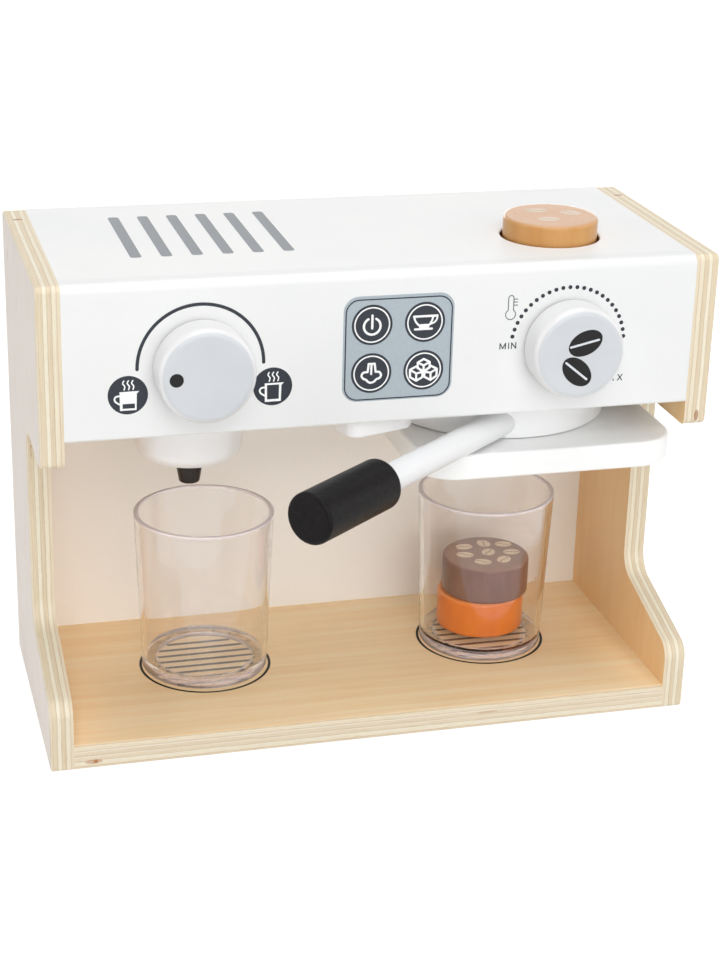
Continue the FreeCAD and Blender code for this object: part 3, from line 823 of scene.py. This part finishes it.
# Ring and grille under each cup, with their places from the back of the case
CUP_PLACES = ((-67.7, -61.2, "left"), (70.4, -60.2, "right"))
CUP_RING_RADIUS = 30.7
GRILLE_REACH = 24
GRILLE_PITCH = 6
HALF_BAR = 1.0
for x, y, name in CUP_PLACES:
    place = on_level(x * MM, BACK + y * MM, BASE_Z)
    line = Print(place)
    line.ring(0, 0, CUP_RING_RADIUS, 1.25, FLOOR_LEVEL)
    line.piece("cup_ring_" + name, "case", black_ink)
    grille = Print(place)
    for k in range(-3, 4):
        aside = GRILLE_PITCH * k
        reach = math.sqrt(GRILLE_REACH ** 2 - aside ** 2)
        grille.shape(rounded(-reach, aside - HALF_BAR, reach, aside + HALF_BAR, 0.95), FLOOR_LEVEL)
    grille.piece("cup_grille_" + name, "case", dark_ink)


# Floor, light and camera

def mixed_by_ray(tree, lighting, seen, kind):
    """One shader for the rays that light the object, and another for those that see the surroundings."""
    path = tree.nodes.new("ShaderNodeLightPath")
    sees = path.outputs["Is Camera Ray"]
    for ray in ("Is Glossy Ray", "Is Transmission Ray"):
        either = tree.nodes.new("ShaderNodeMath")
        either.operation = "MAXIMUM"
        tree.links.new(sees, either.inputs[0])
        tree.links.new(path.outputs[ray], either.inputs[1])
        sees = either.outputs[0]
    mix = tree.nodes.new("ShaderNodeMixShader")
    for index, socket in enumerate((sees, lighting.outputs[0], seen.outputs[0])):
        tree.links.new(socket, mix.inputs[index])
    tree.links.new(mix.outputs[0], tree.nodes.new(kind).inputs[0])


def coloured(tree, kind, colour, strength=None):
    made = tree.nodes.new(kind)
    made.inputs["Color"].default_value = colour + (1,)
    if strength is not None:
        made.inputs["Strength"].default_value = strength
    return made


def stage_material():
    """White floor that keeps the object's shadow and shows white to the camera.

    What the camera sees is a darker diffuse floor with a glow, which rises away from the object.
    """
    made = bpy.data.materials.new("stage_white")
    made.use_nodes = True
    tree = made.node_tree
    tree.nodes.clear()
    plain = coloured(tree, "ShaderNodeBsdfDiffuse", (0.86, 0.86, 0.86))
    soft = coloured(tree, "ShaderNodeBsdfDiffuse", (0.42, 0.42, 0.42))
    glow = tree.nodes.new("ShaderNodeEmission")
    away = tree.nodes.new("ShaderNodeVectorMath")
    away.operation = "LENGTH"
    rise = tree.nodes.new("ShaderNodeMapRange")
    for key, value in (("From Min", 0.5), ("From Max", 1.6), ("To Min", 0.84), ("To Max", 0.98)):
        rise.inputs[key].default_value = value
    both = tree.nodes.new("ShaderNodeAddShader")
    link = tree.links.new
    link(tree.nodes.new("ShaderNodeTexCoord").outputs["Object"], away.inputs[0])
    link(away.outputs["Value"], rise.inputs[0])
    link(rise.outputs[0], glow.inputs["Strength"])
    link(soft.outputs[0], both.inputs[0])
    link(glow.outputs[0], both.inputs[1])
    mixed_by_ray(tree, plain, both, "ShaderNodeOutputMaterial")
    return made


def white_world(strength):
    """Even light from all round, seen as white behind the object."""
    world = bpy.data.worlds.new("studio")
    bpy.context.scene.world = world
    world.use_nodes = True
    tree = world.node_tree
    tree.nodes.clear()
    light = coloured(tree, "ShaderNodeBackground", (1.0, 0.995, 0.985), strength)
    white = coloured(tree, "ShaderNodeBackground", (1, 1, 1), 1.0)
    mixed_by_ray(tree, light, white, "ShaderNodeOutputWorld")


def soft_box(name, place, aim_z, size, power):
    """Rectangular lamp that points at a height over the middle of the object."""
    data = bpy.data.lights.new(name, "AREA")
    data.shape = "RECTANGLE"
    data.size, data.size_y = size
    data.energy = power
    lamp = bpy.data.objects.new(name, data)
    lamp.location = place
    lamp.rotation_euler = (Vector((0, 0, aim_z)) - Vector(place)).to_track_quat("-Z", "Y").to_euler()
    bpy.context.scene.collection.objects.link(lamp)


# The floor lies a little under the object, so that the two don't share a plane
FLOOR_Z = -0.0002
FLOOR_CORNERS = [(-6, -6, FLOOR_Z), (6, -6, FLOOR_Z), (6, 6, FLOOR_Z), (-6, 6, FLOOR_Z)]
floor_mesh = bpy.data.meshes.new("floor")
floor_mesh.from_pydata(FLOOR_CORNERS, [], [(0, 1, 2, 3)])
floor_mesh.materials.append(stage_material())
floor = bpy.data.objects.new("floor", floor_mesh)
bpy.context.scene.collection.objects.link(floor)

# Each lamp has its place, the height it points at, its width and height, and its power
white_world(0.15)
soft_box("front", (0.15, -1.8, 0.40), 0.1, (1.5, 0.6), 8.9)
soft_box("high", (-0.1, -1.2, 1.1), 0.08, (1.3, 0.8), 8.6)
soft_box("left", (-1.7, -0.2, 0.5), 0.1, (0.9, 0.9), 6.2)
soft_box("right", (1.6, -0.5, 0.6), 0.1, (0.9, 0.9), 5)
soft_box("overhead", (0.05, 0.0, 1.6), 0.1, (1.2, 1.2), 12.2)
soft_box("behind", (0.3, 1.8, 0.25), 0.1, (1.4, 0.35), 6.5)

# The photograph's view, solved from the corners of the case
CAMERA_RIGHT = Vector((0.96635, -0.25600, 0.02518)).normalized()
CAMERA_FORWARD = Vector((0.24688, 0.89549, -0.37034)).normalized()
CAMERA_PLACE = Vector((-0.23315, BACK - 0.93165, 0.46014))
camera_data = bpy.data.cameras.new("camera")
camera_data.lens = 77.2
camera_data.sensor_width = 36.0
camera_data.clip_start = 0.05
camera = bpy.data.objects.new("camera", camera_data)
bpy.context.scene.collection.objects.link(camera)
camera_up = CAMERA_RIGHT.cross(CAMERA_FORWARD).normalized()
camera_turn = Matrix((CAMERA_RIGHT, camera_up, -CAMERA_FORWARD)).transposed().to_4x4()
camera.matrix_world = Matrix.Translation(CAMERA_PLACE) @ camera_turn
bpy.context.scene.camera = camera

bpy.context.scene.view_settings.view_transform = "Standard"
